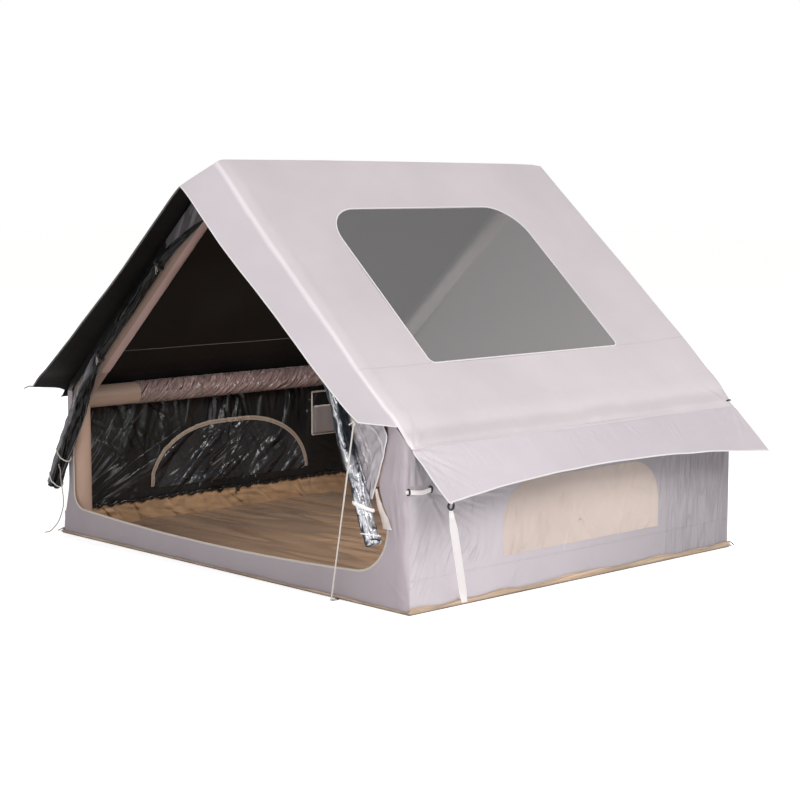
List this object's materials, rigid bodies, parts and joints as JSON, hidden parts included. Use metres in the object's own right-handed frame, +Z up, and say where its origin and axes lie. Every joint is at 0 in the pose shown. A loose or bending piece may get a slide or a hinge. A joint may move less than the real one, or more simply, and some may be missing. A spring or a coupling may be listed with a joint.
{
  "type": "inflatable tent",
  "caption": "House-shaped air tent: inflated tube frame, fabric skin with a clear roof panel, rolled-open front, drop-down window covers, hanging side valances and a tray floor.",
  "frame": {"origin": "centre of the floor's underside, on the ground", "axes": "+X to the right seen from the front, +Y towards the rear, +Z up; the door faces -Y"},
  "size_m": [3.3501, 2.8202, 2.188],
  "materials": {
    "bathtub_floor": "coated ground cloth",
    "front_arch_tube": "smooth air tube cloth",
    "rear_arch_tube": "smooth air tube cloth",
    "left_eave_beam": "smooth air tube cloth",
    "right_eave_beam": "smooth air tube cloth",
    "ridge_beam": "smooth air tube cloth",
    "left_eave_sleeve": "ruched cloth",
    "right_eave_sleeve": "ruched cloth",
    "front_left_rafter_sleeve": "ruched cloth",
    "front_right_rafter_sleeve": "ruched cloth",
    "valve_body": "moulded",
    "valve_cap": "moulded",
    "left_roof_panel": "matt coated cloth",
    "right_roof_panel": "matt coated cloth",
    "roof_window_film": "smoked clear film",
    "roof_window_piping": "woven tape",
    "left_overhang": "matt coated cloth",
    "right_overhang": "matt coated cloth",
    "left_awning": "matt coated cloth",
    "right_awning": "matt coated cloth",
    "front_left_jamb": "matt coated cloth",
    "front_right_jamb": "matt coated cloth",
    "front_sill": "matt coated cloth",
    "left_gable_trim": "matt coated cloth",
    "right_gable_trim": "matt coated cloth",
    "gable_top_panel": "matt coated cloth",
    "left_wall": "matt coated cloth",
    "right_wall": "matt coated cloth",
    "rear_wall": "matt coated cloth",
    "left_window_mesh": "fine cloth",
    "left_window_flap": "black coated cloth",
    "left_window_zip": "smooth air tube cloth",
    "left_zip_slider": "moulded",
    "right_window_mesh": "fine cloth",
    "right_window_flap": "black coated cloth",
    "right_window_zip": "smooth air tube cloth",
    "right_zip_slider": "moulded",
    "rear_window_mesh": "fine cloth",
    "rear_window_flap": "black coated cloth",
    "rear_window_zip": "smooth air tube cloth",
    "rear_zip_slider": "moulded",
    "left_door_roll": "black coated cloth",
    "right_door_roll": "silver foil lining",
    "left_upper_tie": "braided cord",
    "left_lower_tie": "braided cord",
    "left_end_tie": "braided cord",
    "right_door_flap": "matt coated cloth",
    "right_zip_guard": "fine cloth",
    "hanging_organiser": "smooth air tube cloth",
    "handle_end_front": "moulded",
    "handle_end_rear": "moulded",
    "corner_handle_band": "woven tape",
    "corner_gusset": "matt coated cloth",
    "awning_ring": "moulded",
    "awning_strap": "woven tape",
    "front_left_peg_loop": "moulded",
    "rear_right_peg_loop": "moulded",
    "guy_anchor_loop": "moulded",
    "guy_rope": "braided cord",
    "left_tie_cord": "braided cord"
  },
  "bodies": {
    "tent": {"bathtub_floor": "bathtub_floor", "front_arch_tube": "front_arch_tube", "rear_arch_tube": "rear_arch_tube", "left_eave_beam": "left_eave_beam", "right_eave_beam": "right_eave_beam", "ridge_beam": "ridge_beam", "left_eave_sleeve": "left_eave_sleeve", "right_eave_sleeve": "right_eave_sleeve", "front_left_rafter_sleeve": "front_left_rafter_sleeve", "front_right_rafter_sleeve": "front_right_rafter_sleeve", "valve_body": "valve_body", "left_roof_panel": "left_roof_panel", "right_roof_panel": "right_roof_panel", "roof_window_film": "roof_window_film", "roof_window_piping": "roof_window_piping", "left_overhang": "left_overhang", "right_overhang": "right_overhang", "front_left_jamb": "front_left_jamb", "front_right_jamb": "front_right_jamb", "front_sill": "front_sill", "left_gable_trim": "left_gable_trim", "right_gable_trim": "right_gable_trim", "gable_top_panel": "gable_top_panel", "left_wall": "left_wall", "right_wall": "right_wall", "rear_wall": "rear_wall", "left_window_mesh": "left_window_mesh", "left_window_zip": "left_window_zip", "right_window_mesh": "right_window_mesh", "right_window_zip": "right_window_zip", "rear_window_mesh": "rear_window_mesh", "rear_window_zip": "rear_window_zip", "left_door_roll": "left_door_roll", "right_door_roll": "right_door_roll", "left_upper_tie": "left_upper_tie", "left_lower_tie": "left_lower_tie", "left_end_tie": "left_end_tie", "right_door_flap": "right_door_flap", "right_zip_guard": "right_zip_guard", "handle_end_front": "handle_end_front", "handle_end_rear": "handle_end_rear", "corner_handle_band": "corner_handle_band", "corner_gusset": "corner_gusset", "awning_strap": "awning_strap", "front_left_peg_loop": "front_left_peg_loop", "rear_right_peg_loop": "rear_right_peg_loop", "guy_anchor_loop": "guy_anchor_loop", "guy_rope": "guy_rope", "left_tie_cord": "left_tie_cord"},
    "right_awning_body": {"right_awning": "right_awning", "awning_ring": "awning_ring"},
    "left_awning_body": {"left_awning": "left_awning"},
    "left_flap_body": {"left_window_flap": "left_window_flap"},
    "right_flap_body": {"right_window_flap": "right_window_flap"},
    "rear_flap_body": {"rear_window_flap": "rear_window_flap"},
    "left_slider_body": {"left_zip_slider": "left_zip_slider"},
    "right_slider_body": {"right_zip_slider": "right_zip_slider"},
    "rear_slider_body": {"rear_zip_slider": "rear_zip_slider"},
    "organiser_body": {"hanging_organiser": "hanging_organiser"},
    "valve_cap_body": {"valve_cap": "valve_cap"}
  },
  "joints": [
    {"name": "right_awning_fold", "type": "hinge", "parent": "tent", "child": "right_awning_body", "pos_m": [1.51399, 0, 0.81889], "axis": [0, -1, 0], "range_deg": [0, 90]},
    {"name": "left_awning_fold", "type": "hinge", "parent": "tent", "child": "left_awning_body", "pos_m": [-1.51399, 0, 0.81889], "axis": [0, 1, 0], "range_deg": [0, 135]},
    {"name": "left_flap_drop", "type": "hinge", "parent": "tent", "child": "left_flap_body", "pos_m": [-1.4937, 0, 0.195], "axis": [0, 1, 0], "range_deg": [0, 110]},
    {"name": "right_flap_drop", "type": "hinge", "parent": "tent", "child": "right_flap_body", "pos_m": [1.4937, 0, 0.195], "axis": [0, -1, 0], "range_deg": [0, 110]},
    {"name": "rear_flap_drop", "type": "hinge", "parent": "tent", "child": "rear_flap_body", "pos_m": [0, 1.2587, 0.195], "axis": [1, 0, 0], "range_deg": [0, 110]},
    {"name": "left_zip_run", "type": "slide", "parent": "tent", "child": "left_slider_body", "axis": [0, -1, 0], "range_m": [0, 0.14]},
    {"name": "right_zip_run", "type": "slide", "parent": "tent", "child": "right_slider_body", "axis": [0, 1, 0], "range_m": [0, 0.74]},
    {"name": "rear_zip_run", "type": "slide", "parent": "tent", "child": "rear_slider_body", "axis": [-1, 0, 0], "range_m": [0, 0.74]},
    {"name": "organiser_swing", "type": "hinge", "parent": "tent", "child": "organiser_body", "pos_m": [-1.4967, 0.84, 0.695], "axis": [0, -1, 0], "range_deg": [0, 35]},
    {"name": "valve_cap_turn", "type": "hinge", "parent": "tent", "child": "valve_cap_body", "pos_m": [1.3495, 1.1957, 0.3], "axis": [-1, 0, 0], "range_deg": [0, 270]}
  ]
}
